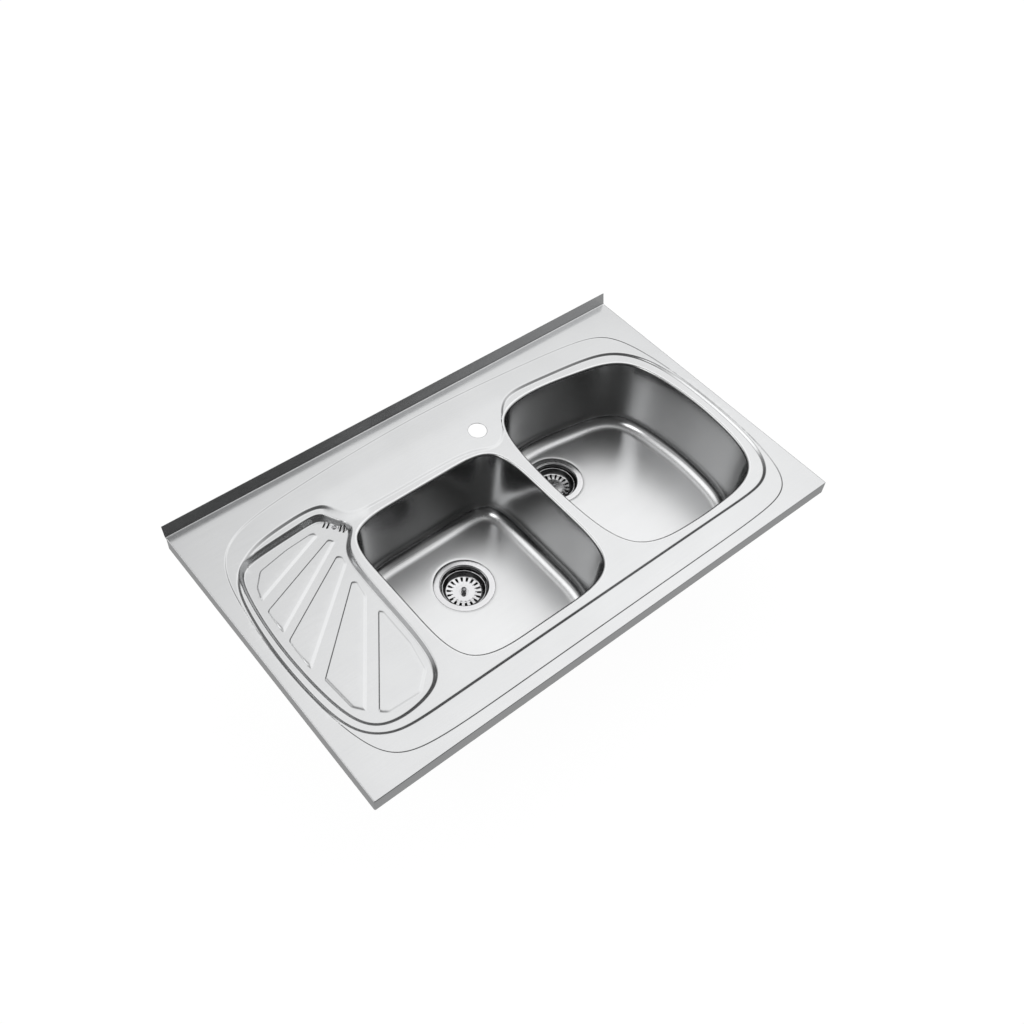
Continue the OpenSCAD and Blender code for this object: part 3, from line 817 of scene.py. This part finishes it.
NODE_SLOTS = {
    "damping_pad": "damping_pad",
    "stiffener": "galvanised_steel",
    "brackets": "galvanised_steel",
    "gasket": "black_rubber",
    "seal": "black_rubber",
    "housing": "waste_plastic",
    "waste_body": "waste_plastic",
    "overflow_screw": "screw_steel",
    "clamp_screw": "screw_steel",
    "stem_nut": "screw_steel",
    "stem": "screw_steel",
    "clamp_nut": "brass",
    "knob": "knob_steel",
    "basket": "strainer_steel",
    "cup": "strainer_steel",
    "stopper_disc": "strainer_steel",
}


def build_smoothing(limit_deg):
    """Geometry nodes that shade faces smoothly and keep the edges over a limit angle sharp."""
    group = bpy.data.node_groups.new("smooth_between_edges", "GeometryNodeTree")
    group.interface.new_socket("Geometry", in_out="INPUT", socket_type="NodeSocketGeometry")
    group.interface.new_socket("Geometry", in_out="OUTPUT", socket_type="NodeSocketGeometry")
    start = group.nodes.new("NodeGroupInput")
    end = group.nodes.new("NodeGroupOutput")
    angle = group.nodes.new("GeometryNodeInputMeshEdgeAngle")
    gentle = group.nodes.new("FunctionNodeCompare")
    gentle.operation = "LESS_THAN"
    gentle.inputs["B"].default_value = math.radians(limit_deg)
    faces = group.nodes.new("GeometryNodeSetShadeSmooth")
    faces.domain = "FACE"
    edges = group.nodes.new("GeometryNodeSetShadeSmooth")
    edges.domain = "EDGE"
    group.links.new(start.outputs["Geometry"], faces.inputs["Geometry"])
    group.links.new(faces.outputs["Geometry"], edges.inputs["Geometry"])
    group.links.new(angle.outputs["Unsigned Angle"], gentle.inputs["A"])
    group.links.new(gentle.outputs["Result"], edges.inputs["Shade Smooth"])
    group.links.new(edges.outputs["Geometry"], end.inputs["Geometry"])
    return group


def dress(node, smoothing):
    """Gives a carried-over CAD node its material and smooth shading between its real edges."""
    slot = next(s for key, s in NODE_SLOTS.items() if key in node.name)
    node.data.materials.clear()
    node.data.materials.append(MATERIALS[slot])
    node.modifiers.new("smoothing", "NODES").node_group = smoothing


smoothing = build_smoothing(32)
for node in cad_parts.values():
    if not node.hide_render:
        dress(node, smoothing)


# ---------------------------------------------------------------- stage, light and camera

def build_floor():
    """Pale studio floor under the lowest point of the object."""
    skin = Skin()
    size = 6000
    low = cad_box[0].z / MM - 0.5
    corners = skin.ring([(-size, -size), (size, -size), (size, size), (-size, size)], low)
    skin.faces.append(tuple(corners))
    mesh = bpy.data.meshes.new("studio_floor")
    mesh.from_pydata([tuple(c * MM for c in p) for p in skin.points], [], skin.faces)
    floor = bpy.data.objects.new("studio_floor", mesh)
    bpy.context.scene.collection.objects.link(floor)
    n = Nodes("studio_floor")
    grey = n.tint(n.noise((2, 2, 2)), (0.06, 0.06, 0.06), (0.07, 0.07, 0.07))
    n.join(grey, n.shader.inputs["Base Color"])
    n.shader.inputs["Roughness"].default_value = 0.9
    n.shader.inputs["Emission Color"].default_value = (1, 1, 1, 1)
    n.shader.inputs["Emission Strength"].default_value = 0.97
    floor.data.materials.append(n.material)
    floor.visible_glossy = False
    floor.visible_diffuse = False


# Direction of each soft light, and its strength by the cosine of the angle away from it
STUDIO_LIGHTS = [
    # overhead
    ((0.50, 0.22, 0.84), (
        (0, 0.07), (0.60, 0.10), (0.71, 0.13), (0.79, 0.22), (0.84, 0.55), (0.88, 0.80),
        (0.95, 1.10), (0.985, 1.24), (1, 1.26),
    )),
    # soft glow of the back wall, and a window beside it
    ((-0.20, 0.60, 0.77), ((0.82, 0), (0.95, 0.16), (1, 0.20))),
    ((-0.46, 0.50, 0.73), ((0.95, 0), (0.98, 1.2), (1, 1.4))),
    # tall strip on the left
    ((-0.66, 0.00, 0.75), ((0.978, 0), (0.992, 2.6), (1, 2.6))),
    # far left
    ((-0.90, 0.30, 0.20), ((0.78, 0), (0.95, 0.5), (1, 0.5))),
    # low on the right, for the side turned away from the camera
    ((0.75, -0.45, 0.45), ((0.86, 0), (0.96, 0.5), (1, 0.55))),
    # from below
    ((0, 0, -1), ((0.0, 0), (0.15, 0.31), (1, 0.31))),
]


def build_world():
    """Studio surroundings: a large soft light overhead, smaller ones on the left, and dark walls."""
    world = bpy.data.worlds.new("studio")
    bpy.context.scene.world = world
    world.use_nodes = True
    tree = world.node_tree
    place = tree.nodes.new("ShaderNodeTexCoord")
    total = None
    for direction, stops in STUDIO_LIGHTS:
        facing = tree.nodes.new("ShaderNodeVectorMath")
        facing.operation = "DOT_PRODUCT"
        facing.inputs[1].default_value = Vector(direction).normalized()
        tree.links.new(place.outputs["Generated"], facing.inputs[0])
        ramp = tree.nodes.new("ShaderNodeValToRGB")
        elements = ramp.color_ramp.elements
        for k, (at, value) in enumerate(stops):
            stop = elements[k] if k < 2 else elements.new(at)
            stop.position = at
            stop.color = (value, value, value, 1)
        tree.links.new(facing.outputs["Value"], ramp.inputs["Fac"])
        if total is None:
            total = ramp.outputs["Color"]
            continue
        both = tree.nodes.new("ShaderNodeVectorMath")
        both.operation = "ADD"
        tree.links.new(total, both.inputs[0])
        tree.links.new(ramp.outputs["Color"], both.inputs[1])
        total = both.outputs["Vector"]
    tree.links.new(total, tree.nodes["Background"].inputs["Color"])


def build_camera():
    """The camera of the photograph, as fitted to the corners of the top and to its round holes."""
    data = bpy.data.cameras.new("camera")
    camera = bpy.data.objects.new("camera", data)
    bpy.context.scene.collection.objects.link(camera)
    data.lens = 39.94
    data.sensor_width = 36
    data.clip_start = 0.05
    data.clip_end = 60
    camera.location = (-0.85974, -0.90151, 1.56817)
    camera.rotation_mode = "QUATERNION"
    camera.rotation_quaternion = (0.8903309, 0.3020943, -0.1384114, -0.3112752)
    bpy.context.scene.camera = camera


build_floor()
build_world()
build_camera()
bpy.context.scene.view_settings.view_transform = "Standard"
